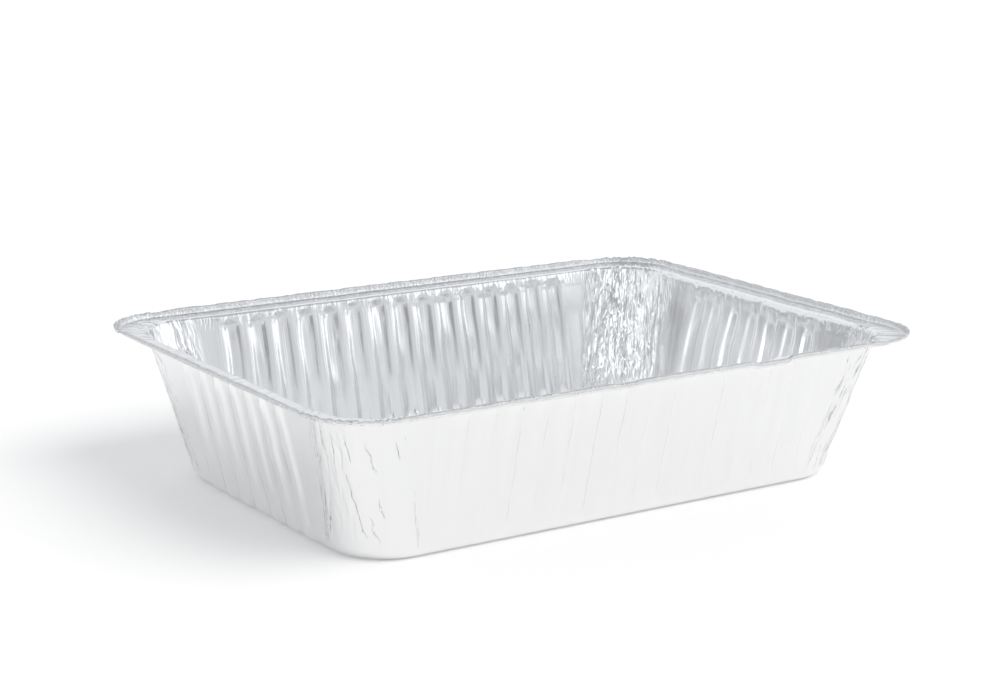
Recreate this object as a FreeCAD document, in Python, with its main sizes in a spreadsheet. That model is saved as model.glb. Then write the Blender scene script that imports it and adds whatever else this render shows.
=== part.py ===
# Rectangular aluminium foil tray, pressed from one sheet.
#
# Millimetres. The origin is the middle of the underside, +X runs along the long sides and +Z is up.
# The foil is the space between two skins, the underside and the upper side, one foil thickness apart.
# Each skin bounds a solid form of everything above it.
# The form over the underside, less the form over the upper side, is the pressed sheet.

import FreeCAD, Part
import math
import os

from FreeCAD import Placement, Rotation, Vector

# Driving sizes: name, value and meaning. Lengths are in millimetres, angles in degrees.
SIZES = (
    ("outer_length", 320.0, "length over the rolled rim"),
    ("outer_width", 228.0, "width over the rolled rim"),
    ("tray_height", 71.0, "underside to the top of the rolled rim"),
    ("foil_thickness", 0.1, "sheet thickness"),
    ("rim_corner_radius", 30.0, "corner radius of the outside of the rim, seen from above"),
    ("rim_overhang", 12.0, "outside of the rim to the outside of the wall, at the ledge"),
    ("rim_depth", 3.5, "top of the rim to the underside of the ledge"),
    ("roll_diameter", 2.4, "outside diameter of the rolled edge"),
    ("roll_turn", 300.0, "how far round the edge is rolled"),
    ("upstand_radius", 0.8, "bend from the ledge up to the roll, outside"),
    ("shoulder_radius", 1.2, "bend from the wall out to the ledge, outside"),
    ("wall_lean", 13.5, "lean of the walls from upright"),
    ("wall_corner_radius", 27.0, "corner radius of the walls, seen from above"),
    ("base_radius", 7.0, "bend from the base up to the walls, outside"),
    ("flute_depth", 1.3, "how far a flute stands out of the wall"),
    ("flute_crest", 4.4, "width of a flute's flat crest"),
    ("flute_flank", 2.4, "width of a flute's sloping side"),
    ("flute_ramp", 3.0, "length of a flute's sloping end"),
    ("flute_foot", 6.6, "base plane to the lower end of a flute, along the wall"),
    ("flute_head", 2.4, "upper end of a flute to the ledge, along the wall"),
    ("long_flutes", 15, "number of flutes in a long wall"),
    ("long_pitch", 13.4, "spacing of the flutes in a long wall"),
    ("short_flutes", 7, "number of flutes in a short wall"),
    ("short_pitch", 14.0, "spacing of the flutes in a short wall"),
    ("corner_gathers", 5, "number of gathers in a corner"),
    ("gather_depth", 0.8, "how far a gather is pressed in"),
    ("gather_crease", 0.3, "width of the bottom of a gather"),
    ("gather_flank", 1.35, "width of a gather's sloping side"),
    ("gather_ramp", 6.0, "length of a gather's sloping end"),
    ("gather_foot", 9.0, "base plane to the lower end of a gather, along the corner"),
    ("gather_head", 3.0, "upper end of a gather to the ledge, along the corner"),
)

# A bend turns in straight steps of at most this many degrees.
BEND_STEP = 25
# How far the shaping wedges reach past the skin that they shape: a flute inwards, a gather outwards.
FLUTE_REACH = 1.0
GATHER_REACH = 0.2
# Height above the ledge to which both forms are filled, so that nothing of the fill is left between them.
FILL = 5.0
# Signs of x and y of the four corners, in the order of their arcs.
CORNERS = ((1, 1), (-1, 1), (-1, -1), (1, -1))

doc = FreeCAD.newDocument("foil_tray_model")
sheet = doc.addObject("Spreadsheet::Sheet", "sizes")
for row, (name, value, meaning) in enumerate(SIZES, 1):
    sheet.set("A%d" % row, meaning)
    sheet.set("B%d" % row, str(value))
    sheet.setAlias("B%d" % row, name)
doc.recompute()


def size(name):
    """A driving size, read from the sheet."""
    return float(sheet.get(name))


foil = size("foil_thickness")
lean = math.radians(size("wall_lean"))
half_length = size("outer_length") / 2
half_width = size("outer_width") / 2
ledge_height = size("tray_height") - size("rim_depth")
corner_radius = size("wall_corner_radius")

# Half sizes of the rectangle where the outside of the walls would meet the base plane.
foot_inset = size("rim_overhang") + ledge_height * math.tan(lean)
foot_half_length = half_length - foot_inset
foot_half_width = half_width - foot_inset

# From the outside of the rim in to where the flat ledge ends and the bend up to the roll begins.
ledge_inset = size("roll_diameter") - foil + size("upstand_radius")


def polar(radius, degrees):
    """A level vector of the given length and direction."""
    return Vector(math.cos(math.radians(degrees)), math.sin(math.radians(degrees)), 0) * radius


def rounded_outline(half_x, half_y, radius, height):
    """Closed wire of a rounded rectangle, at one height."""
    arcs = []
    for quarter, (side_x, side_y) in enumerate(CORNERS):
        centre = Vector(side_x * (half_x - radius), side_y * (half_y - radius), height)
        arcs.append([centre + polar(radius, 90 * quarter + turn) for turn in (0, 45, 90)])
    edges = []
    for arc, following in zip(arcs, arcs[1:] + arcs[:1]):
        edges.append(Part.Arc(*arc).toShape())
        edges.append(Part.makeLine(arc[2], following[0]))
    return Part.Wire(edges)


def bend_points(centre, radius, first, last):
    """Points round a bend of the section, as (outset, height) pairs, close enough for foil to look round."""
    steps = math.ceil(abs(last - first) / BEND_STEP)
    turns = [math.radians(first + (last - first) * step / steps) for step in range(steps + 1)]
    return [(centre[0] + radius * math.cos(turn), centre[1] + radius * math.sin(turn)) for turn in turns]


def section_points(skin):
    """One skin's section from base to ledge. A skin is named by its height above the underside of the base."""
    slope = math.tan(lean)
    base_bend = size("base_radius")
    shoulder_bend = size("shoulder_radius")
    base_inset = base_bend * math.tan(math.pi / 4 - lean / 2)
    shoulder_height = ledge_height - shoulder_bend
    shoulder_outset = shoulder_height * slope + shoulder_bend / math.cos(lean)
    wall_turn = math.degrees(lean)
    base_points = bend_points((-base_inset, base_bend), base_bend - skin, -90, -wall_turn)
    shoulder_centre = (shoulder_outset, shoulder_height)
    shoulder_points = bend_points(shoulder_centre, shoulder_bend + skin, 180 - wall_turn, 90)
    return base_points + shoulder_points


def plain_form(skin):
    """Everything above one skin, before the flutes and gathers."""
    outlines = []
    for outset, height in section_points(skin):
        radius = corner_radius + outset - height * math.tan(lean)
        outlines.append(rounded_outline(foot_half_length + outset, foot_half_width + outset, radius, height))
    walls = Part.makeLoft(outlines, True, True)
    ledge = ledge_height + skin
    ledge_radius = size("rim_corner_radius") - ledge_inset
    ledge_outline = rounded_outline(half_length - ledge_inset, half_width - ledge_inset, ledge_radius, ledge)
    fill = Part.Face(ledge_outline).extrude(Vector(0, 0, FILL - skin))
    return walls.fuse(fill)


def shaping_wedge(name, extents):
    """A wedge bound to the sheet. Local Y points out of the skin, and local Z up along it."""
    wedge = doc.addObject("Part::Wedge", name)
    for extent, expression in extents.items():
        wedge.setExpression(extent, expression)
    return wedge


# A wedge's wide face lies past the skin, and its slopes go on as far as that.
wall_run = "(sizes.tray_height - sizes.rim_depth) / cos(sizes.wall_lean)"
corner_run = "(sizes.tray_height - sizes.rim_depth) * sqrt(1 + 2 * tan(sizes.wall_lean) ^ 2)"
flute_spread = "(1 + %s / sizes.flute_depth)" % FLUTE_REACH
gather_spread = "(1 + %s / sizes.gather_depth)" % GATHER_REACH

flute = shaping_wedge("flute", {
    "Ymin": "-%s" % FLUTE_REACH,
    "Ymax": "sizes.flute_depth",
    "Xmin": "-sizes.flute_crest / 2 - sizes.flute_flank * " + flute_spread,
    "Xmax": "sizes.flute_crest / 2 + sizes.flute_flank * " + flute_spread,
    "X2min": "-sizes.flute_crest / 2",
    "X2max": "sizes.flute_crest / 2",
    "Zmin": "sizes.flute_foot + sizes.flute_ramp - sizes.flute_ramp * " + flute_spread,
    "Zmax": wall_run + " - sizes.flute_head - sizes.flute_ramp + sizes.flute_ramp * " + flute_spread,
    "Z2min": "sizes.flute_foot + sizes.flute_ramp",
    "Z2max": wall_run + " - sizes.flute_head - sizes.flute_ramp",
})
gather = shaping_wedge("gather", {
    "Ymin": "-sizes.gather_depth",
    "Ymax": "%s" % GATHER_REACH,
    "Xmin": "-sizes.gather_crease / 2",
    "Xmax": "sizes.gather_crease / 2",
    "X2min": "-sizes.gather_crease / 2 - sizes.gather_flank * " + gather_spread,
    "X2max": "sizes.gather_crease / 2 + sizes.gather_flank * " + gather_spread,
    "Zmin": "sizes.gather_foot + sizes.gather_ramp",
    "Zmax": corner_run + " - sizes.gather_head - sizes.gather_ramp",
    "Z2min": "sizes.gather_foot + sizes.gather_ramp - sizes.gather_ramp * " + gather_spread,
    "Z2max": corner_run + " - sizes.gather_head - sizes.gather_ramp + sizes.gather_ramp * " + gather_spread,
})
doc.recompute()


def flutes_on(skin):
    """The flutes of all four walls, standing on one skin."""
    walls = (
        (0, foot_half_width, "long"),
        (90, foot_half_length, "short"),
        (180, foot_half_width, "long"),
        (270, foot_half_length, "short"),
    )
    along_wall = Rotation(Vector(1, 0, 0), -math.degrees(lean))
    upright = Placement(Vector(0, -skin * math.cos(lean), skin * math.sin(lean)), along_wall)
    placed = []
    for turn, distance, kind in walls:
        count = int(size(kind + "_flutes"))
        pitch = size(kind + "_pitch")
        wall = Placement(Vector(), Rotation(Vector(0, 0, 1), turn))
        for index in range(count):
            along = (index - (count - 1) / 2) * pitch
            spot = Placement(Vector(along, distance, 0), Rotation())
            placed.append(flute.Shape.transformed((wall * spot * upright).Matrix))
    return placed


def gathers_on(skin):
    """The gathers of all four corners, pressed into one skin."""
    count = int(size("corner_gathers"))
    slope = math.tan(lean)
    placed = []
    for quarter, (side_x, side_y) in enumerate(CORNERS):
        middle_x = side_x * (foot_half_length - corner_radius)
        middle_y = side_y * (foot_half_width - corner_radius)
        centre = Vector(middle_x, middle_y, 0)
        up_corner = Vector(side_x * slope, side_y * slope, 1).normalize()
        for index in range(count):
            outward = polar(1, 90 * quarter + 90 * (index + 0.5) / count)
            normal = outward - up_corner * outward.dot(up_corner)
            normal.normalize()
            turn = Rotation(normal.cross(up_corner), normal, up_corner, "ZYX")
            spot = centre + outward * corner_radius - normal * skin
            placed.append(gather.Shape.transformed(Placement(spot, turn).Matrix))
    return placed


def skin_form(name, skin):
    """Everything above one skin, with its flutes and gathers."""
    feature = doc.addObject("Part::Feature", name)
    feature.Shape = plain_form(skin).fuse(flutes_on(skin)).cut(gathers_on(skin))
    return feature


def rim_section():
    """Section of the upstand and the rolled edge, in the plane y = 0 of the rim's right-hand side."""
    upstand_outside = size("roll_diameter") - foil
    bend = size("upstand_radius")
    roll = size("roll_diameter") / 2
    bend_centre = (half_length - upstand_outside - bend, ledge_height + bend)
    roll_centre = (half_length - roll, size("tray_height") - roll)
    roll_end = 180 - size("roll_turn")
    foil_back = [
        *bend_points(bend_centre, bend, -90, 0),
        *bend_points(roll_centre, roll - foil, 180, roll_end),
    ]
    foil_face = [
        *bend_points(bend_centre, bend - foil, -90, 0),
        *bend_points(roll_centre, roll, 180, roll_end),
    ]
    outline = foil_back + foil_face[::-1] + foil_back[:1]
    return Part.Face(Part.makePolygon([Vector(across, 0, height) for across, height in outline]))


def rolled_rim():
    """The upstand and the rolled edge, carried right round the tray."""
    radius = size("rim_corner_radius")
    section = rim_section()
    pieces = []
    for quarter, (side_x, side_y) in enumerate(CORNERS):
        centre = Vector(side_x * (half_length - radius), side_y * (half_width - radius), 0)
        local = section.copy()
        local.translate(Vector(radius - half_length, 0, 0))
        local.rotate(Vector(), Vector(0, 0, 1), 90 * quarter)
        local.translate(centre)
        corner = local.revolve(centre, Vector(0, 0, 1), 90)
        end = local.copy()
        end.rotate(centre, Vector(0, 0, 1), 90)
        straight = 2 * ((half_length, half_width)[quarter % 2] - radius)
        pieces.append(corner)
        pieces.append(end.extrude(polar(straight, 90 * quarter + 180)))
    feature = doc.addObject("Part::Feature", "rolled_rim")
    feature.Shape = pieces[0].fuse(pieces[1:])
    return feature


pressed = doc.addObject("Part::Cut", "pressed_sheet")
pressed.Base = skin_form("under_form", 0.0)
pressed.Tool = skin_form("upper_form", foil)
tray = doc.addObject("Part::Fuse", "tray")
tray.Base = pressed
tray.Tool = rolled_rim()
tray.Label = "foil_tray"
tray.Placement = Placement()
doc.recompute()

for item in doc.Objects:
    failed = [state for state in item.State if state in ("Invalid", "Error")]
    if failed:
        raise RuntimeError("%s: %s" % (item.Label, failed))
for item in (pressed, tray):
    if item.Shape.isNull() or not item.Shape.isValid() or len(item.Shape.Solids) != 1:
        raise RuntimeError("%s is not one valid solid" % item.Label)

os.makedirs("parts", exist_ok=True)
tray.Shape.exportStep("parts/%s.step" % tray.Label)
print("volume mm3", round(tray.Shape.Volume, 1), "area mm2", round(tray.Shape.Area, 1))
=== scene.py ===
# Looks of the aluminium foil tray: the pressed and rolled foil, its finish, the floor, the light and the
# camera. Metres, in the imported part's own frame: the origin is under the middle of the base, and +Z is up.

import math
from itertools import accumulate

import bpy
from mathutils import Matrix, Vector


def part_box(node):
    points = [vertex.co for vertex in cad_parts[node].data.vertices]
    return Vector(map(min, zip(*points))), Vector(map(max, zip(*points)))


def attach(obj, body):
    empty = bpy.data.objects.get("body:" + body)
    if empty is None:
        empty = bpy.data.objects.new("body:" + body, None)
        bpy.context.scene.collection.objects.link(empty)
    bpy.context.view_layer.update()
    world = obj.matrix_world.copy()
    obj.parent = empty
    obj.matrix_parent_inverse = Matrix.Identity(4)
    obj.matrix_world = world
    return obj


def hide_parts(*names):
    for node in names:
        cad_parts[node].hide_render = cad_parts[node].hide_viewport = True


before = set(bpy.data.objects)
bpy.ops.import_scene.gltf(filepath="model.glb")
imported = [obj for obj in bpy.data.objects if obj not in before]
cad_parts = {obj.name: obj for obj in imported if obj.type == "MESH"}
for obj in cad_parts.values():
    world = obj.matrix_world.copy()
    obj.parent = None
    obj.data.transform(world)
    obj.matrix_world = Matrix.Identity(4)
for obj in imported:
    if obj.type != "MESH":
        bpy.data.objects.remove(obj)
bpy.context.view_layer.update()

MM = 0.001
NODE = "foil_tray"

# Sizes of the tray, as in the part's own source.
HALF_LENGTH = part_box(NODE)[1].x
HALF_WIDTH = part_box(NODE)[1].y
TRAY_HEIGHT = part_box(NODE)[1].z
FOIL = 0.1 * MM
RIM_CORNER_RADIUS = 30 * MM
RIM_OVERHANG = 12 * MM
RIM_DEPTH = 3.5 * MM
ROLL_RADIUS = 1.2 * MM
ROLL_TURN = 300
UPSTAND_RADIUS = 0.8 * MM
SHOULDER_RADIUS = 1.2 * MM
WALL_LEAN = math.radians(13.5)
WALL_CORNER_RADIUS = 27 * MM
BASE_RADIUS = 7 * MM
FLUTES = {"long": (15, 13.4 * MM), "short": (7, 14 * MM)}

# Shape of one flute. It is a little shallower and softer than in the source, and its head is higher.
FLUTE_DEPTH = 1.1 * MM
FLUTE_CREST = 4.0 * MM
FLUTE_FLANK = 2.8 * MM
FLUTE_HEAD = 1.5 * MM

LEDGE_HEIGHT = TRAY_HEIGHT - RIM_DEPTH
SLOPE = math.tan(WALL_LEAN)
WALL_RUN = LEDGE_HEIGHT / math.cos(WALL_LEAN)
RIM_OUTSET = RIM_OVERHANG + LEDGE_HEIGHT * SLOPE
FOOT_HALF_LENGTH = HALF_LENGTH - RIM_OUTSET
FOOT_HALF_WIDTH = HALF_WIDTH - RIM_OUTSET

# The camera that the photograph was taken with, as fitted to the tray's outlines.
CAMERA_PLACE = Vector((-0.5678, -0.8249, 0.2962))
CAMERA_AZIMUTH = math.radians(-34.196)
CAMERA_ELEVATION = math.radians(13.04)
CAMERA_ROLL = math.radians(0.678)
CAMERA_LENS = 79.8
CAMERA_SENSOR = 36
CAMERA_REACH = 50

# Patterns that follow the sheet: their features in one millimetre, round the rim and up the wall.
GRAIN = {
    "waver": (0.12, 0.06),
    "swell": (0.11, 0.06),
    "pucker": (0.45, 0.22),
    "warp": (0.07, 0.07),
    "crease": (0.17, 0.03),
    "wrinkle": (0.3, 0.09),
    "patch": (0.09, 0.05),
    "wander": (0.22, 0.22),
    "coarse crimp": (0.16, 0.1),
    "short crimp": (0.34, 0.1),
    "fine crimp": (0.6, 0.2),
    "give": (0.012, 0.03),
    "wave": (0.03, 0.0),
    "sway": (0.02, 0.03),
    "pleat": (0.8, 0.014),
    "crinkle": (0.36, 0.075),
    "knurl": (0.9, 0.35),
    "tone": (0.25, 0.02),
}


class Recipe:
    """Writes the nodes of one tree. A value may be a number, a tuple or another node's output."""

    def __init__(self, tree):
        self.tree = tree

    def node(self, kind, values=(), **settings):
        made = self.tree.nodes.new(kind)
        for name, setting in settings.items():
            setattr(made, name, setting)
        for socket, value in dict(values).items():
            self.give(made.inputs[socket], value)
        return made

    def give(self, socket, value):
        if isinstance(value, bpy.types.NodeSocket):
            self.tree.links.new(value, socket)
        else:
            socket.default_value = value

    def maths(self, operation, *values):
        return self.node("ShaderNodeMath", enumerate(values), operation=operation).outputs[0]

    def plus(self, first, second):
        return self.maths("ADD", first, second)

    def minus(self, first, second):
        return self.maths("SUBTRACT", first, second)

    def times(self, first, *others):
        product = first
        for other in others:
            product = self.maths("MULTIPLY", product, other)
        return product

    def larger(self, first, second):
        return self.maths("MAXIMUM", first, second)

    def away_from(self, value, middle):
        return self.maths("ABSOLUTE", self.minus(value, middle))

    def vector(self, operation, *values):
        return self.node("ShaderNodeVectorMath", enumerate(values), operation=operation).outputs[0]

    def dot(self, first, second):
        product = self.node("ShaderNodeVectorMath", {0: first, 1: second}, operation="DOT_PRODUCT")
        return product.outputs["Value"]

    def length(self, vector):
        return self.node("ShaderNodeVectorMath", {0: vector}, operation="LENGTH").outputs["Value"]

    def scaled(self, vector, factor):
        return self.node("ShaderNodeVectorMath", {0: vector, 3: factor}, operation="SCALE").outputs[0]

    def point(self, x, y, z):
        return self.node("ShaderNodeCombineXYZ", {0: x, 1: y, 2: z}).outputs[0]

    def split(self, vector):
        return self.node("ShaderNodeSeparateXYZ", {0: vector}).outputs

    def ease(self, value, start, end, first=0.0, last=1.0, shape="SMOOTHSTEP"):
        values = {0: value, 1: start, 2: end, 3: first, 4: last}
        return self.node("ShaderNodeMapRange", values, interpolation_type=shape).outputs[0]

    def mix(self, share, first, last):
        return self.node("ShaderNodeMix", {0: share, 2: first, 3: last}).outputs[0]

    def mix_colours(self, share, first, last):
        return self.node("ShaderNodeMix", {0: share, 6: first, 7: last}, data_type="RGBA").outputs[2]

    def grained(self, spot, pattern):
        """Places on the sheet, scaled to the grain of a pattern."""
        level, upright = GRAIN[pattern]
        return self.vector("MULTIPLY", spot, (level, level, upright))

    def noise(self, vector, detail, roughness=0.5):
        values = {"Vector": vector, "Scale": 1.0, "Detail": detail, "Roughness": roughness}
        return self.node("ShaderNodeTexNoise", values).outputs[0]

    def cell_edge(self, vector, width):
        """Thin lines between cells: 1 on a line, and 0 at the given distance from it."""
        values = {"Vector": vector, "Scale": 1.0}
        edge = self.node("ShaderNodeTexVoronoi", values, feature="DISTANCE_TO_EDGE").outputs["Distance"]
        return self.ease(edge, 0.0, width, 1.0, 0.0, "LINEAR")


class Row:
    """One level line of the sheet: how far out and up it lies, and which way its underside faces."""

    def __init__(self, outset, height, facing, stride=1, radius=None, rim=0.0, shrink=1.0):
        self.half_x = FOOT_HALF_LENGTH + outset
        self.half_y = FOOT_HALF_WIDTH + outset
        self.height = height
        self.facing = facing
        self.stride = stride
        self.radius = WALL_CORNER_RADIUS + outset - height * SLOPE if radius is None else radius
        self.rim = rim
        self.shrink = shrink


def bend_rows(centre, radius, first, last, steps, side, rim=0.0):
    """Rows round a bend. The underside faces away from its centre where side is 1, and to it at -1."""
    rows = []
    for step in range(steps + 1):
        turn = math.radians(first + (last - first) * step / steps)
        out, up = math.cos(turn), math.sin(turn)
        outset = centre[0] + radius * out
        corner_radius = RIM_CORNER_RADIUS - RIM_OUTSET + outset if rim else None
        facing = (side * out, side * up)
        rows.append(Row(outset, centre[1] + radius * up, facing, radius=corner_radius, rim=rim))
    return rows


# Rings of the flat base: size as a share of the outermost ring, and columns from one point to the next.
BASE_RINGS = ((0.25, 8), (0.5, 8), (0.75, 4), (0.88, 4), (0.95, 2))
BASE_BEND_STEPS = 6
WALL_STEPS = 22
SHOULDER_STEPS = 3
LEDGE_STEPS = 3
UPSTAND_STEPS = 3
ROLL_STEPS = 9

# Share of even spacing in the wall's rows. The rest draws them together at the foot and the head.
WALL_EVENNESS = 0.45

# How far the rows count as rim: on the upstand's bend, and on the rolled edge.
UPSTAND_RIM = 0.5
ROLL_RIM = 1.0


def sheet_rows():
    """All rows of the foil's middle, from the base out, up the walls and round the rolled edge."""
    lean = math.degrees(WALL_LEAN)
    half_foil = FOIL / 2
    base_inset = BASE_RADIUS * math.tan(math.pi / 4 - WALL_LEAN / 2)
    rows = [Row(-base_inset, half_foil, (0, -1), stride, shrink=share) for share, stride in BASE_RINGS]
    base_centre = (-base_inset, BASE_RADIUS)
    rows += bend_rows(base_centre, BASE_RADIUS - half_foil, -90, -lean, BASE_BEND_STEPS, 1)

    shoulder_height = LEDGE_HEIGHT - SHOULDER_RADIUS
    shoulder_centre = (shoulder_height * SLOPE + SHOULDER_RADIUS / math.cos(WALL_LEAN), shoulder_height)
    shoulder = bend_rows(shoulder_centre, SHOULDER_RADIUS + half_foil, 180 - lean, 90, SHOULDER_STEPS, -1)
    foot, head = rows[-1], shoulder[0]
    for step in range(1, WALL_STEPS):
        even = step / WALL_STEPS
        drawn = 0.5 - 0.5 * math.cos(math.pi * even)
        share = WALL_EVENNESS * even + (1 - WALL_EVENNESS) * drawn
        height = foot.height + (head.height - foot.height) * share
        outset = foot.half_x + (head.half_x - foot.half_x) * share - FOOT_HALF_LENGTH
        rows.append(Row(outset, height, foot.facing))
    rows += shoulder

    upstand = RIM_OUTSET - 2 * ROLL_RADIUS + FOIL
    upstand_centre = (upstand - UPSTAND_RADIUS, LEDGE_HEIGHT + UPSTAND_RADIUS)
    bend = bend_rows(upstand_centre, UPSTAND_RADIUS - half_foil, -90, 0, UPSTAND_STEPS, 1, UPSTAND_RIM)
    inner, edge = shoulder[-1], bend[0]
    for step in range(1, LEDGE_STEPS):
        share = step / LEDGE_STEPS
        outset = inner.half_x + (edge.half_x - inner.half_x) * share - FOOT_HALF_LENGTH
        radius = inner.radius + (edge.radius - inner.radius) * share
        rows.append(Row(outset, edge.height, (0, -1), radius=radius, rim=UPSTAND_RIM * share))
    rows += bend

    roll_centre = (RIM_OUTSET - ROLL_RADIUS, TRAY_HEIGHT - ROLL_RADIUS)
    rows += bend_rows(roll_centre, ROLL_RADIUS - half_foil, 180, 180 - ROLL_TURN, ROLL_STEPS, -1, ROLL_RIM)
    return rows


# Columns of the finest rows: in a corner's arc, in the plain strip beside it, and on each flank of a flute.
ARC_COLUMNS = 72
STRIP_COLUMNS = 12
FLANK_COLUMNS = 4
SIDES = ("long", "short", "long", "short")
CORNER_SIGNS = ((1, 1), (-1, 1), (-1, -1), (1, -1))


class Column:
    """One line up the sheet, in a corner's arc or on the wall after it. The quarters run anticlockwise."""

    # The share says how far round its arc a line lies. In a plain strip it says how far from the flutes,
    # below 0 ahead of them. The way along runs round an arc, and on the flutes it counts from the wall's
    # middle. A plain strip keeps the way along of the arc it joins, so that the finish has no step there.
    def __init__(self, quarter, kind, share=0.0, along=0.0):
        self.quarter = quarter
        self.kind = kind
        self.share = share
        self.along = along
        self.flutes, self.pitch = FLUTES[SIDES[quarter]]

    def gather(self):
        """How much the foil gathers here: fully in an arc, and less and less over a plain strip."""
        return {"arc": 1.0, "strip": abs(self.share), "fluted": 0.0}[self.kind]

    def place(self, row):
        """Level position on a row, and the level direction out of the tray."""
        if self.kind == "arc":
            return self.place_in_arc(row)
        sizes = (row.half_x, row.half_y)
        half_side, half_across = sizes if SIDES[self.quarter] == "long" else reversed(sizes)
        outward = level_direction(self.quarter + 1)
        along = self.along
        if self.kind == "strip":
            fluted = self.flutes * self.pitch / 2
            reach = half_side - row.radius - fluted
            along = math.copysign(fluted + reach * abs(self.share), self.share)
        return (outward * half_across + level_direction(self.quarter + 2) * along) * row.shrink, outward

    def place_in_arc(self, row):
        outward = level_direction(self.quarter + self.share)
        sign_x, sign_y = CORNER_SIGNS[self.quarter]
        centre = Vector((sign_x * (row.half_x - row.radius), sign_y * (row.half_y - row.radius), 0))
        return (centre + outward * row.radius) * row.shrink, outward


def level_direction(quarters):
    """The level direction that lies so many quarter turns from +X."""
    turn = math.radians(90 * quarters)
    return Vector((math.cos(turn), math.sin(turn), 0))


def flute_stations(pitch):
    """Places of the columns across one flute, closest together on its flanks."""
    half_crest = FLUTE_CREST / 2
    flank = [half_crest + FLUTE_FLANK * step / FLANK_COLUMNS for step in range(FLANK_COLUMNS + 1)]
    half = [half_crest / 2] + flank
    return [-pitch / 2] + [-place for place in reversed(half)] + [0.0] + half


def sheet_columns():
    """All columns of the finest rows, right round the tray."""
    arc = math.pi / 2 * WALL_CORNER_RADIUS
    columns = []
    for quarter, side in enumerate(SIDES):
        for step in range(ARC_COLUMNS):
            share = step / ARC_COLUMNS
            columns.append(Column(quarter, "arc", share, arc * share))
        for step in range(STRIP_COLUMNS):
            columns.append(Column(quarter, "strip", step / STRIP_COLUMNS - 1, arc))
        count, pitch = FLUTES[side]
        for number in range(count):
            middle = (number - (count - 1) / 2) * pitch
            for station in flute_stations(pitch):
                columns.append(Column(quarter, "fluted", along=middle + station))
        columns.append(Column(quarter, "fluted", along=count * pitch / 2))
        for step in range(1, STRIP_COLUMNS):
            columns.append(Column(quarter, "strip", step / STRIP_COLUMNS))
    return columns


def ring_faces(inner, outer):
    """Faces between two rings of vertex numbers. One ring may have twice as many vertices as the other."""
    faces = []
    count = min(len(inner), len(outer))
    for step in range(count):
        following = (step + 1) % count
        middle = 2 * step + 1
        if len(inner) == len(outer):
            faces.append((inner[step], outer[step], outer[following], inner[following]))
        elif len(outer) > len(inner):
            faces.append((inner[step], outer[2 * step], outer[middle]))
            faces.append((inner[step], outer[middle], inner[following]))
            faces.append((inner[following], outer[middle], outer[2 * following]))
        else:
            faces.append((inner[2 * step], outer[step], inner[middle]))
            faces.append((outer[step], outer[following], inner[middle]))
            faces.append((inner[middle], outer[following], inner[2 * following]))
    return faces


def lap_of(row, columns):
    """Each column's way round a row, as an angle, and the radius of a circle with the row's length."""
    places = [column.place(row)[0] for column in columns]
    steps = [(after - before).length for before, after in zip(places, places[1:] + places[:1])]
    circle = sum(steps) / (2 * math.pi)
    return [way / circle for way in accumulate([0.0] + steps[:-1])], circle


def plain_sheet():
    """The sheet before its flutes and creases are pressed, with the measures that guide press and finish."""
    rows = sheet_rows()
    columns = sheet_columns()
    turns, circle = lap_of(rows[-1], columns)
    numbers = {name: [] for name in ("along", "pitch", "up", "gather", "rim")}
    arrows = {name: [] for name in ("facing", "outward", "spot")}
    points, rings = [], []
    for row in rows:
        start = len(points)
        up = row.height / math.cos(WALL_LEAN)
        for column, turn in list(zip(columns, turns))[::row.stride]:
            place, outward = column.place(row)
            spot = Vector((circle * math.cos(turn), circle * math.sin(turn), up)) / MM
            points.append((place.x, place.y, row.height))
            arrows["facing"].append(outward * row.facing[0] + Vector((0, 0, row.facing[1])))
            arrows["outward"].append(outward)
            arrows["spot"].append(spot)
            numbers["along"].append(column.along)
            numbers["pitch"].append(column.pitch if column.kind == "fluted" else 0.0)
            numbers["up"].append(up)
            numbers["gather"].append(column.gather())
            numbers["rim"].append(row.rim)
        rings.append(list(range(start, len(points))))
    faces = [tuple(rings[0])]
    for inner, outer in zip(rings, rings[1:]):
        faces += ring_faces(inner, outer)
    mesh = bpy.data.meshes.new("plain_sheet")
    mesh.from_pydata(points, [], faces)
    for name, values in numbers.items():
        mesh.attributes.new(name, "FLOAT", "POINT").data.foreach_set("value", values)
    for name, vectors in arrows.items():
        flat = [number for vector in vectors for number in vector]
        mesh.attributes.new(name, "FLOAT_VECTOR", "POINT").data.foreach_set("vector", flat)
    mesh.update()
    return mesh


# Creases of the front corner: the degrees round the corner and millimetres up the wall of both their ends.
FRONT_CREASES = (
    (17, 63, 21, 44),
    (31, 62, 38, 44),
    (49, 62, 62, 37),
    (79, 60, 81, 46),
    (28, 46, 43, 14),
    (47, 26, 59, 2),
    (58, 34, 63, 18),
    (36, 30, 46, 6),
)
CREASE_WANDER = 3 * MM

# Sums of X and Y between which a place stops belonging to the front corner.
FRONT_CORNER = (-190 * MM, -170 * MM)


def corner_point(turn, up):
    """A place on a corner's sheet, as its way round the corner and up the wall."""
    return Vector((math.radians(turn) * WALL_CORNER_RADIUS, up * MM, 0.0))


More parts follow.
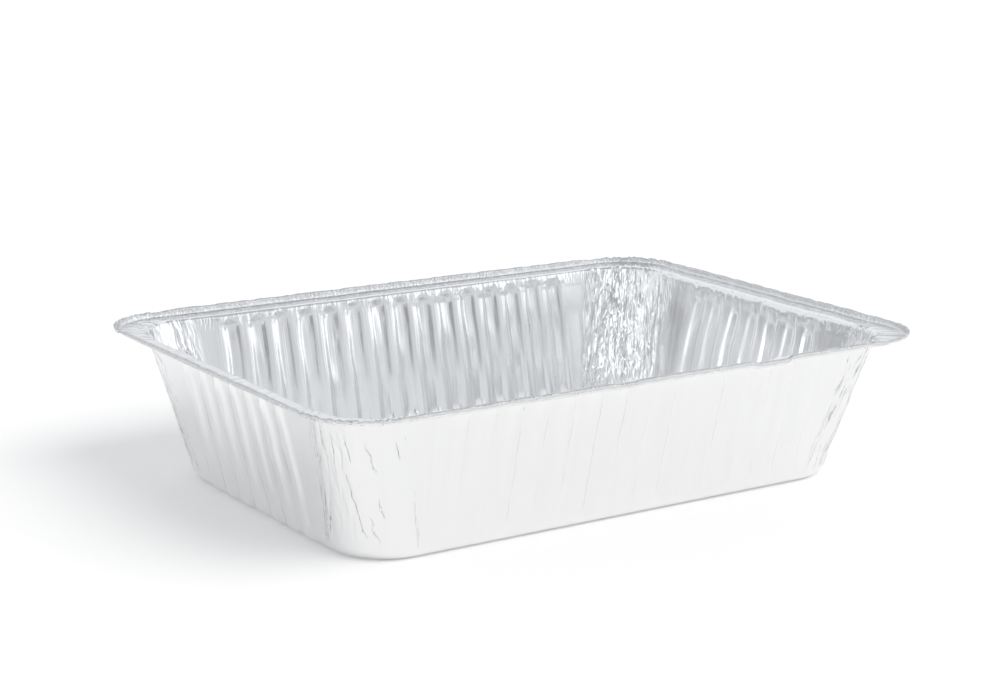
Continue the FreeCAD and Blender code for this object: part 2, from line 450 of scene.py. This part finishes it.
def front_folds(r, spot, along, up, diagonal, gather, half_width):
    """How far into one of the front corner's sharp creases each place lies, from 0 to 1."""
    wander = r.minus(r.noise(r.grained(spot, "wander"), 2.0), 0.5)
    point = r.point(r.plus(along, r.times(wander, CREASE_WANDER)), up, 0.0)
    folds = 0.0
    for first_turn, first_up, last_turn, last_up in FRONT_CREASES:
        start = corner_point(first_turn, first_up)
        stretch = corner_point(last_turn, last_up) - start
        from_start = r.vector("SUBTRACT", point, tuple(start))
        share = r.maths("DIVIDE", r.dot(from_start, tuple(stretch)), stretch.length_squared)
        share = r.node("ShaderNodeClamp", {0: share}).outputs[0]
        gap = r.length(r.vector("SUBTRACT", from_start, r.scaled(tuple(stretch), share)))
        taper = r.ease(r.away_from(share, 0.5), 0.1, 0.5, 1.0, 0.0)
        folds = r.larger(folds, r.times(r.ease(gap, 0.0, half_width, 1.0, 0.0), taper))
    return r.times(folds, r.ease(diagonal, *FRONT_CORNER, 1.0, 0.0), r.ease(gather, 0.9, 1.0))


# How far the pattern of creases and crinkles is drawn out of line, in millimetres.
WARP = (11.0, 11.0, 5.0)


def warped(r, spot):
    """Places on the sheet, drawn out of line so that creases run unevenly."""
    return r.vector("ADD", spot, r.scaled(WARP, r.noise(r.grained(spot, "warp"), 2.0)))


def wall_part(r, up, rim, full_height):
    """How far a place belongs to the wall: not at all on the base and the rim, and fully from a height on."""
    return r.times(r.ease(up, 3 * MM, full_height), r.ease(rim, 0.0, 0.2, 1.0, 0.0))


# Inputs of the press.
PRESS = {
    "Flute Depth": FLUTE_DEPTH,
    "Flute Crest": FLUTE_CREST,
    "Flute Flank": FLUTE_FLANK,
    "Flute Head": FLUTE_HEAD,
    "Wall Run": WALL_RUN,
    "Pucker Depth": 0.6 * MM,
    "Gather Depth": 0.9 * MM,
    "Crumple Depth": 0.5 * MM,
    "Crease Depth": 0.3 * MM,
    "Crimp Depth": 0.7 * MM,
    "Give": 0.6 * MM,
    "Rim Wave": 0.7 * MM,
    "Sway": 1.6 * MM,
    "Waver": 1.6 * MM,
    "Seed": 4.0,
}
SEED_WAY = (1.0, 1.7, 0.0)

# Ends of the flutes. The first value of a pair is for the long sides, and the second for the short ones.
HEAD_STEEPNESS = (2.0, 1.0)
HEAD_TAPER = (0.25, 0.42)
TAPER_LENGTH = 7 * MM
HEAD_SPREAD = 1.4 * MM
FOOT_START = (2.5 * MM, 0.2 * MM)
FOOT_END = (10 * MM, 3.5 * MM)

# How much the flutes differ in depth: from one to the next, along each one, and on the near long side.
OWN_DEPTH = (0.8, 1.15)
SWELL = (0.72, 1.12)
NEAR_SIDE_DEPTH = 0.88

# Gathers and crumples grow from the front corner to the back one, between these sums of X and Y.
CORNER_TO_CORNER = (-210 * MM, 190 * MM)
CREASED = (0.55, 1.0)
CRUMPLED = (0.15, 1.0)
CREASE_HALF_WIDTH = 1.1 * MM

# Noise lies mostly below this level, so that give and wave only press inwards and down.
NOISE_TOP = 0.8

# Knocks in the near rim: where each starts and ends, how gently it ends, and how far it drops.
RIM_DENTS = {
    "long_kink": (47 * MM, 72 * MM, 2 * MM, 1.2 * MM),
    "small_dip": (-30 * MM, -8 * MM, 8 * MM, 0.5 * MM),
    "end_dip": (120 * MM, 134 * MM, 4 * MM, 0.5 * MM),
}
DENT_START_LENGTH = 7 * MM
DENT_REACH = (9 * MM, 16 * MM)


def flute_push(r, given, spot, along, pitch, up, outward):
    """How far the flutes stand out of the wall, with the foil's puckers at their heads."""
    # A flute is a long mound with a round head. No two are quite alike in depth and height.
    number = r.maths("ROUND", r.maths("DIVIDE", along, r.larger(pitch, MM)))
    waver = r.minus(r.noise(r.grained(spot, "waver"), 1.0), 0.5)
    off_centre = r.plus(r.minus(along, r.times(number, pitch)), r.times(waver, given["Waver"]))
    flute_address = r.vector("ADD", r.point(r.times(number, 5.3), given["Seed"], 0.0), r.scaled(outward, 9.0))
    own = r.noise(flute_address, 0.0)
    sides = r.split(outward)
    on_short_side = r.maths("ABSOLUTE", sides[0])

    def by_side(pair):
        return r.ease(on_short_side, 0.0, 1.0, *pair)

    half_crest = r.times(given["Flute Crest"], 0.5)
    reach = r.plus(half_crest, given["Flute Flank"])
    steepness = by_side(HEAD_STEEPNESS)
    head = r.minus(given["Wall Run"], given["Flute Head"])
    head = r.minus(head, r.maths("DIVIDE", reach, steepness))
    head = r.minus(head, r.ease(own, 0.3, 0.7, 0.0, HEAD_SPREAD))
    past_head = r.times(r.larger(r.minus(up, head), 0.0), steepness)
    past_taper = r.larger(r.minus(up, r.minus(head, TAPER_LENGTH)), 0.0)
    past = r.larger(past_head, r.times(past_taper, by_side(HEAD_TAPER)))
    away = r.maths("SQRT", r.plus(r.maths("POWER", off_centre, 2.0), r.maths("POWER", past, 2.0)))
    fluted = r.ease(pitch, 0.0, MM)
    foot = r.ease(up, by_side(FOOT_START), by_side(FOOT_END))
    mound = r.times(r.ease(away, half_crest, reach, 1.0, 0.0), foot, fluted)
    swell = r.ease(r.noise(r.grained(spot, "swell"), 1.0), 0.3, 0.7, *SWELL)
    near_side = r.ease(sides[1], -1.0, 0.0, NEAR_SIDE_DEPTH, 1.0)
    own_depth = r.ease(own, 0.2, 0.8, *OWN_DEPTH, "LINEAR")
    push = r.times(mound, own_depth, swell, near_side, given["Flute Depth"])

    pucker = r.cell_edge(r.grained(spot, "pucker"), 0.3)
    at_head = r.ease(r.away_from(past_head, 4 * MM), 1.5 * MM, 4 * MM, 1.0, 0.0)
    return r.minus(push, r.times(pucker, at_head, fluted, given["Pucker Depth"]))


def corner_pull(r, given, spot, place, along, up, gather, rim):
    """How far the corners' creases and crumples press in."""
    # Gathers are sharp creases that run up a corner. Crumples are uneven facets between them.
    drawn = warped(r, spot)
    crease = r.cell_edge(r.grained(drawn, "crease"), 0.14)
    wrinkle = r.cell_edge(r.grained(drawn, "wrinkle"), 0.4)
    patchy = r.ease(r.noise(r.grained(spot, "patch"), 1.0), 0.35, 0.6, 0.35, 1.0)
    cornered = r.times(r.ease(gather, 0.5, 1.0), wall_part(r, up, rim, 12 * MM), patchy)
    diagonal = r.dot(place, (1.0, 1.0, 0.0))
    creased = r.ease(diagonal, *CORNER_TO_CORNER, *CREASED, "LINEAR")
    crumpled = r.ease(diagonal, *CORNER_TO_CORNER, *CRUMPLED, "LINEAR")
    pull = r.times(crease, cornered, creased, given["Gather Depth"])
    pull = r.plus(pull, r.times(wrinkle, cornered, crumpled, given["Crumple Depth"]))
    front = front_folds(r, spot, along, up, diagonal, gather, CREASE_HALF_WIDTH)
    return r.plus(pull, r.times(front, given["Crease Depth"]))


def crimp_push(r, given, spot, gather, rim):
    """The short folds of the rolled edge, closest at the corners, and those on the corners' ledge."""
    coarse = r.ease(r.noise(r.grained(spot, "coarse crimp"), 2.0), 0.45, 0.7)
    short = r.noise(r.grained(spot, "short crimp"), 1.0)
    fine = r.noise(r.grained(spot, "fine crimp"), 1.0)
    crimps = r.plus(r.times(coarse, 0.5), r.times(short, 0.5))
    crimps = r.plus(crimps, r.times(r.ease(fine, 0.35, 0.65), r.ease(gather, 0.3, 1.0)))
    edge = r.times(crimps, r.ease(rim, 0.6, 1.0), given["Crimp Depth"])
    on_ledge = r.times(r.ease(rim, 0.05, 0.25), r.ease(rim, 0.5, 0.7, 1.0, 0.0), r.ease(gather, 0.5, 1.0))
    return r.minus(edge, r.times(fine, on_ledge, given["Crimp Depth"]))


def rim_drop(r, given, spot, place, up):
    """How far the rim lies lower than it should: in long waves, and in a few knocks."""
    high = r.ease(up, 40 * MM, 68 * MM)
    wave = r.noise(r.grained(spot, "wave"), 1.0)
    drop = r.times(r.minus(wave, NOISE_TOP), high, given["Rim Wave"])
    for start, end, end_length, depth in RIM_DENTS.values():
        from_start = r.split(r.vector("SUBTRACT", place, (start, -HALF_WIDTH, 0.0)))
        from_end = r.split(r.vector("SUBTRACT", (end, -HALF_WIDTH, 0.0), place))
        near = r.ease(r.maths("ABSOLUTE", from_start[1]), *DENT_REACH, 1.0, 0.0)
        started = r.ease(from_start[0], 0.0, DENT_START_LENGTH)
        inside = r.times(started, r.ease(from_end[0], 0.0, end_length), near)
        drop = r.minus(drop, r.times(inside, high, depth))
    return drop


def press_tree(material):
    """Geometry nodes that press flutes, corner gathers, rim crimps and dents into the sheet."""
    tree = bpy.data.node_groups.new("press_foil", "GeometryNodeTree")
    sockets = tree.interface
    sockets.new_socket("Sheet", in_out="INPUT", socket_type="NodeSocketGeometry")
    for name in PRESS:
        sockets.new_socket(name, in_out="INPUT", socket_type="NodeSocketFloat")
    sockets.new_socket("Tray", in_out="OUTPUT", socket_type="NodeSocketGeometry")
    r = Recipe(tree)
    given = tree.nodes.new("NodeGroupInput").outputs

    def measure(name, kind="FLOAT"):
        return r.node("GeometryNodeInputNamedAttribute", {"Name": name}, data_type=kind).outputs[0]

    along, pitch, up = measure("along"), measure("pitch"), measure("up")
    gather, rim = measure("gather"), measure("rim")
    facing, outward = measure("facing", "FLOAT_VECTOR"), measure("outward", "FLOAT_VECTOR")
    spot = r.vector("ADD", measure("spot", "FLOAT_VECTOR"), r.scaled(SEED_WAY, given["Seed"]))
    place = r.node("GeometryNodeInputPosition").outputs[0]

    push = flute_push(r, given, spot, along, pitch, up, outward)
    push = r.minus(push, corner_pull(r, given, spot, place, along, up, gather, rim))
    push = r.plus(push, crimp_push(r, given, spot, gather, rim))

    # The walls give a little inwards, and between the corners they sway sideways.
    give = r.minus(r.noise(r.grained(spot, "give"), 1.0), NOISE_TOP)
    give = r.times(give, r.ease(up, 0.0, 30 * MM), given["Give"])
    sway = r.minus(r.noise(r.grained(spot, "sway"), 1.0), 0.5)
    sway = r.times(sway, r.minus(1.0, gather), r.ease(up, 2 * MM, 12 * MM), given["Sway"])
    sideways = r.vector("CROSS_PRODUCT", outward, (0.0, 0.0, 1.0))
    drop = r.point(0.0, 0.0, rim_drop(r, given, spot, place, up))

    pressed = place
    for shift in (r.scaled(facing, push), r.scaled(outward, give), r.scaled(sideways, sway), drop):
        pressed = r.vector("ADD", pressed, shift)
    lowest = (-1.0, -1.0, FOIL / 2)
    pressed = r.vector("MAXIMUM", pressed, lowest)
    moved = r.node("GeometryNodeSetPosition", {"Geometry": given["Sheet"], "Position": pressed}).outputs[0]
    smooth = r.node("GeometryNodeSetShadeSmooth", {"Geometry": moved}).outputs[0]
    whole = r.node("GeometryNodeRealizeInstances", {"Geometry": smooth}).outputs[0]
    dressed = r.node("GeometryNodeSetMaterial", {"Geometry": whole, "Material": material}).outputs[0]
    tree.links.new(dressed, tree.nodes.new("NodeGroupOutput").inputs[0])
    return tree


# Depths of the finish's fine patterns.
RELIEF = {
    "rolling lines": 0.008 * MM,
    "soft dents": 0.12 * MM,
    "pleats": 0.13 * MM,
    "crinkles": 0.16 * MM,
    "front creases": 0.32 * MM,
    "knurls": 0.3 * MM,
}
FINE_CREASE_HALF_WIDTH = 0.45 * MM

# Features in one millimetre along X, Y and Z, of patterns that run straight across the tray.
ROLLING_GRAIN = (0.05, 1.4, 1.4)
DENT_GRAIN = (0.1, 0.1, 0.06)
BASE_TONE_GRAIN = (0.02, 0.25, 0.25)

# Crinkles keep this share away from the corners, and half their depth round the flutes' heads.
LEAST_CRINKLE = 0.02
HEAD_CRINKLE = 0.5
HEAD_HEIGHT = WALL_RUN - FLUTE_HEAD - 2.2 * MM

DARK_FOIL = (0.84, 0.842, 0.846, 1)
BRIGHT_FOIL = (0.91, 0.911, 0.913, 1)
# Painted shade: a darker grey given to the rolled edge's colour, standing in for the shade that falls on it.
PAINTED_EDGE_SHADE = (0.72, 0.722, 0.728, 1)
FOIL_ROUGHNESS = (0.15, 0.23)


def foil_material():
    """Bright foil: metal with rolling lines and pleats, crinkled in the corners and knurled at the edge, with
    painted shade darkening the rolled edge's colour.
    """
    material = bpy.data.materials.new("bright_foil")
    material.use_nodes = True
    tree = material.node_tree
    tree.nodes.clear()
    r = Recipe(tree)

    def measure(name):
        return r.node("ShaderNodeAttribute", attribute_name=name).outputs

    across = r.scaled(r.node("ShaderNodeTexCoord").outputs["Object"], 1 / MM)
    spot, along = measure("spot")["Vector"], measure("along")["Fac"]
    gather, rim, up = measure("gather")["Fac"], measure("rim")["Fac"], measure("up")["Fac"]

    patterns = {
        "rolling lines": r.noise(r.vector("MULTIPLY", across, ROLLING_GRAIN), 3.0, 0.6),
        "soft dents": r.noise(r.vector("MULTIPLY", across, DENT_GRAIN), 1.0),
    }

    pleats = r.noise(r.grained(spot, "pleat"), 2.0, 0.6)
    pleated = r.larger(r.ease(gather, 0.0, 0.25, 1.0, 0.2), r.ease(gather, 0.7, 1.0))
    patterns["pleats"] = r.times(pleats, pleated, wall_part(r, up, rim, 9 * MM))

    crinkles = r.cell_edge(r.grained(warped(r, spot), "crinkle"), 0.35)
    off_head = r.ease(r.away_from(up, HEAD_HEIGHT), 2 * MM, 4.5 * MM, LEAST_CRINKLE, 1.0)
    at_head = r.times(r.minus(1.0, off_head), HEAD_CRINKLE)
    crinkled = r.larger(r.ease(gather, 0.5, 1.0, LEAST_CRINKLE, 1.0), at_head)
    patterns["crinkles"] = r.times(crinkles, crinkled, r.ease(up, 3 * MM, 9 * MM))

    diagonal = r.dot(across, (MM, MM, 0.0))
    folds = front_folds(r, spot, along, up, diagonal, gather, FINE_CREASE_HALF_WIDTH)
    patterns["front creases"] = r.times(folds, -1.0)

    knurls = r.ease(r.noise(r.grained(spot, "knurl"), 2.0, 0.6), 0.3, 0.7)
    patterns["knurls"] = r.times(knurls, r.ease(rim, 0.1, 0.5))

    normal = None
    for name, height in patterns.items():
        bump = {"Strength": 1.0, "Distance": RELIEF[name], "Height": height}
        if normal:
            bump["Normal"] = normal
        normal = r.node("ShaderNodeBump", bump).outputs[0]

    wall_tone = r.noise(r.grained(spot, "tone"), 3.0)
    base_tone = r.noise(r.vector("MULTIPLY", across, BASE_TONE_GRAIN), 3.0)
    tone = r.mix(r.ease(up, 3 * MM, 8 * MM), base_tone, wall_tone)
    sheet = r.mix_colours(tone, DARK_FOIL, BRIGHT_FOIL)
    # The rolled edge's colour blends into the darker grey of painted shade.
    shader = r.node("ShaderNodeBsdfPrincipled", {
        "Base Color": r.mix_colours(r.ease(rim, 0.5, 0.9), sheet, PAINTED_EDGE_SHADE),
        "Metallic": 1.0,
        "Roughness": r.ease(tone, 0.3, 0.7, *FOIL_ROUGHNESS),
        "Normal": normal,
    })
    r.node("ShaderNodeOutputMaterial", {"Surface": shader.outputs[0]})
    return material


def make_tray():
    """The pressed sheet with its rolled edge, given its thickness."""
    draft = bpy.data.objects.new("draft_sheet", plain_sheet())
    bpy.context.scene.collection.objects.link(draft)
    press = draft.modifiers.new("press", "NODES")
    press.node_group = press_tree(foil_material())
    for socket in press.node_group.interface.items_tree:
        if socket.in_out == "INPUT" and socket.name in PRESS:
            press[socket.identifier] = PRESS[socket.name]
    wall = draft.modifiers.new("thickness", "SOLIDIFY")
    wall.thickness = FOIL
    wall.offset = 0
    wall.use_even_offset = False
    draft.update_tag()
    graph = bpy.context.evaluated_depsgraph_get()
    mesh = bpy.data.meshes.new_from_object(draft.evaluated_get(graph))
    bpy.data.objects.remove(draft)
    mesh.name = "tray_foil"
    tray = bpy.data.objects.new("tray_foil", mesh)
    bpy.context.scene.collection.objects.link(tray)
    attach(tray, "root")
    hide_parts(NODE)


FLOOR_HALF = 8.0
FLOOR_COLOUR = (0.96, 0.96, 0.96, 1)
WHITE = (1, 1, 1, 1)

# How far the floor's own white shows through its shading, to the camera and in the foil.
FLOOR_LIFT = 0.18


def make_floor():
    """A wide pale floor."""
    mesh = bpy.data.meshes.new("floor")
    corners = [(x * FLOOR_HALF, y * FLOOR_HALF, 0) for x, y in CORNER_SIGNS]
    mesh.from_pydata(corners, [], [(0, 1, 2, 3)])
    floor = bpy.data.objects.new("floor", mesh)
    bpy.context.scene.collection.objects.link(floor)
    material = bpy.data.materials.new("pale_floor")
    material.use_nodes = True
    material.node_tree.nodes.clear()
    r = Recipe(material.node_tree)
    rays = r.node("ShaderNodeLightPath").outputs
    seen = r.larger(rays["Is Camera Ray"], r.larger(rays["Is Glossy Ray"], rays["Is Transmission Ray"]))
    matt = r.node("ShaderNodeBsdfDiffuse", {"Color": FLOOR_COLOUR}).outputs[0]
    white = r.node("ShaderNodeEmission", {"Color": WHITE, "Strength": 1.0}).outputs[0]
    lifted = r.node("ShaderNodeMixShader", {0: r.times(seen, FLOOR_LIFT), 1: matt, 2: white}).outputs[0]
    r.node("ShaderNodeOutputMaterial", {"Surface": lifted})
    mesh.materials.append(material)


SUN_WAY = Vector((0.32, -0.68, 0.75))
SUN_SOFTNESS = math.radians(45)
SUN_STRENGTH = 1.75
SUN_TINT = (1.0, 0.967, 0.92)


def make_sun():
    """A wide soft sun. The foil mirrors the studio's panels instead of it."""
    sun = bpy.data.lights.new("key", "SUN")
    sun.angle = SUN_SOFTNESS
    sun.energy = SUN_STRENGTH
    sun.color = SUN_TINT
    holder = bpy.data.objects.new("key", sun)
    holder.rotation_euler = SUN_WAY.to_track_quat("Z", "Y").to_euler()
    holder.visible_glossy = False
    bpy.context.scene.collection.objects.link(holder)


# Panels of the studio: bearing from +X and half width in degrees, bottom and top as sines of their height
# over the horizon, and brightness. A later panel covers an earlier one.
PANELS = {
    "backdrop": (56, 65, -0.2, 0.82, 1.0),
    "backdrop_low": (56, 62, -0.2, 0.33, 0.86),
    "back_left": (141, 22, -0.2, 0.16, 0.44),
    "front": (-80, 22, -0.2, 0.4, 0.76),
    "camera_side": (-117, 19, -0.2, 0.31, 0.34),
    "camera_high": (-143, 17, 0.33, 0.6, 0.45),
    "left_box": (194, 16, 0.07, 0.3, 1.7),
    "right_box": (-28, 18, -0.02, 0.65, 1.55),
    "front_high": (-111, 15, 0.33, 0.62, 1.5),
    "front_patch": (-80, 10, 0.27, 0.42, 0.35),
}
PANEL_SIDE_BLUR = math.radians(5)
PANEL_BOTTOM_BLUR = 0.02
PANEL_TOP_BLUR = 0.05

# Brightness of the sky between the panels, low and overhead, and the heights between which it changes.
SKY_BRIGHTNESS = (0.96, 0.5)
SKY_HEIGHTS = (0.4, 0.85)
SKY_TINT = (0.96, 0.982, 1.012)


def make_world():
    """A studio of soft panels round the table, greyer overhead."""
    world = bpy.data.worlds.new("studio")
    bpy.context.scene.world = world
    world.use_nodes = True
    world.node_tree.nodes.clear()
    r = Recipe(world.node_tree)
    way = r.node("ShaderNodeTexCoord").outputs["Generated"]
    height = r.split(way)[2]
    level_way = r.vector("NORMALIZE", r.vector("MULTIPLY", way, (1.0, 1.0, 0.0)))
    level = r.ease(height, *SKY_HEIGHTS, *SKY_BRIGHTNESS)
    for bearing, half_width, bottom, top, brightness in PANELS.values():
        bearing, half_width = math.radians(bearing), math.radians(half_width)
        turned = r.dot(level_way, (math.cos(bearing), math.sin(bearing), 0.0))
        outer, inner = math.cos(half_width + PANEL_SIDE_BLUR), math.cos(half_width - PANEL_SIDE_BLUR)
        over_bottom = r.ease(height, bottom - PANEL_BOTTOM_BLUR, bottom + PANEL_BOTTOM_BLUR)
        under_top = r.ease(height, top - PANEL_TOP_BLUR, top + PANEL_TOP_BLUR, 1.0, 0.0)
        level = r.mix(r.times(r.ease(turned, outer, inner), over_bottom, under_top), level, brightness)
    background = r.node("ShaderNodeBackground", {"Color": r.scaled(SKY_TINT, level), "Strength": 1.0})
    r.node("ShaderNodeOutputWorld", {"Surface": background.outputs[0]})


def make_camera():
    """The camera at the photograph's place, with its lens and its slight roll."""
    right = Vector((math.cos(CAMERA_AZIMUTH), math.sin(CAMERA_AZIMUTH), 0))
    backwards = Vector((math.sin(CAMERA_AZIMUTH), -math.cos(CAMERA_AZIMUTH), 0))
    back = backwards * math.cos(CAMERA_ELEVATION) + Vector((0, 0, math.sin(CAMERA_ELEVATION)))
    up = back.cross(right)
    cosine, sine = math.cos(CAMERA_ROLL), math.sin(CAMERA_ROLL)
    right, up = right * cosine + up * sine, up * cosine - right * sine
    camera = bpy.data.objects.new("camera", bpy.data.cameras.new("camera"))
    camera.data.lens = CAMERA_LENS
    camera.data.sensor_width = CAMERA_SENSOR
    camera.data.clip_end = CAMERA_REACH
    turn = Matrix((right, up, back)).transposed().to_4x4()
    camera.matrix_world = Matrix.Translation(CAMERA_PLACE) @ turn
    bpy.context.scene.collection.objects.link(camera)
    bpy.context.scene.camera = camera


make_tray()
make_floor()
make_world()
make_sun()
make_camera()
bpy.context.scene.view_settings.view_transform = "Standard"
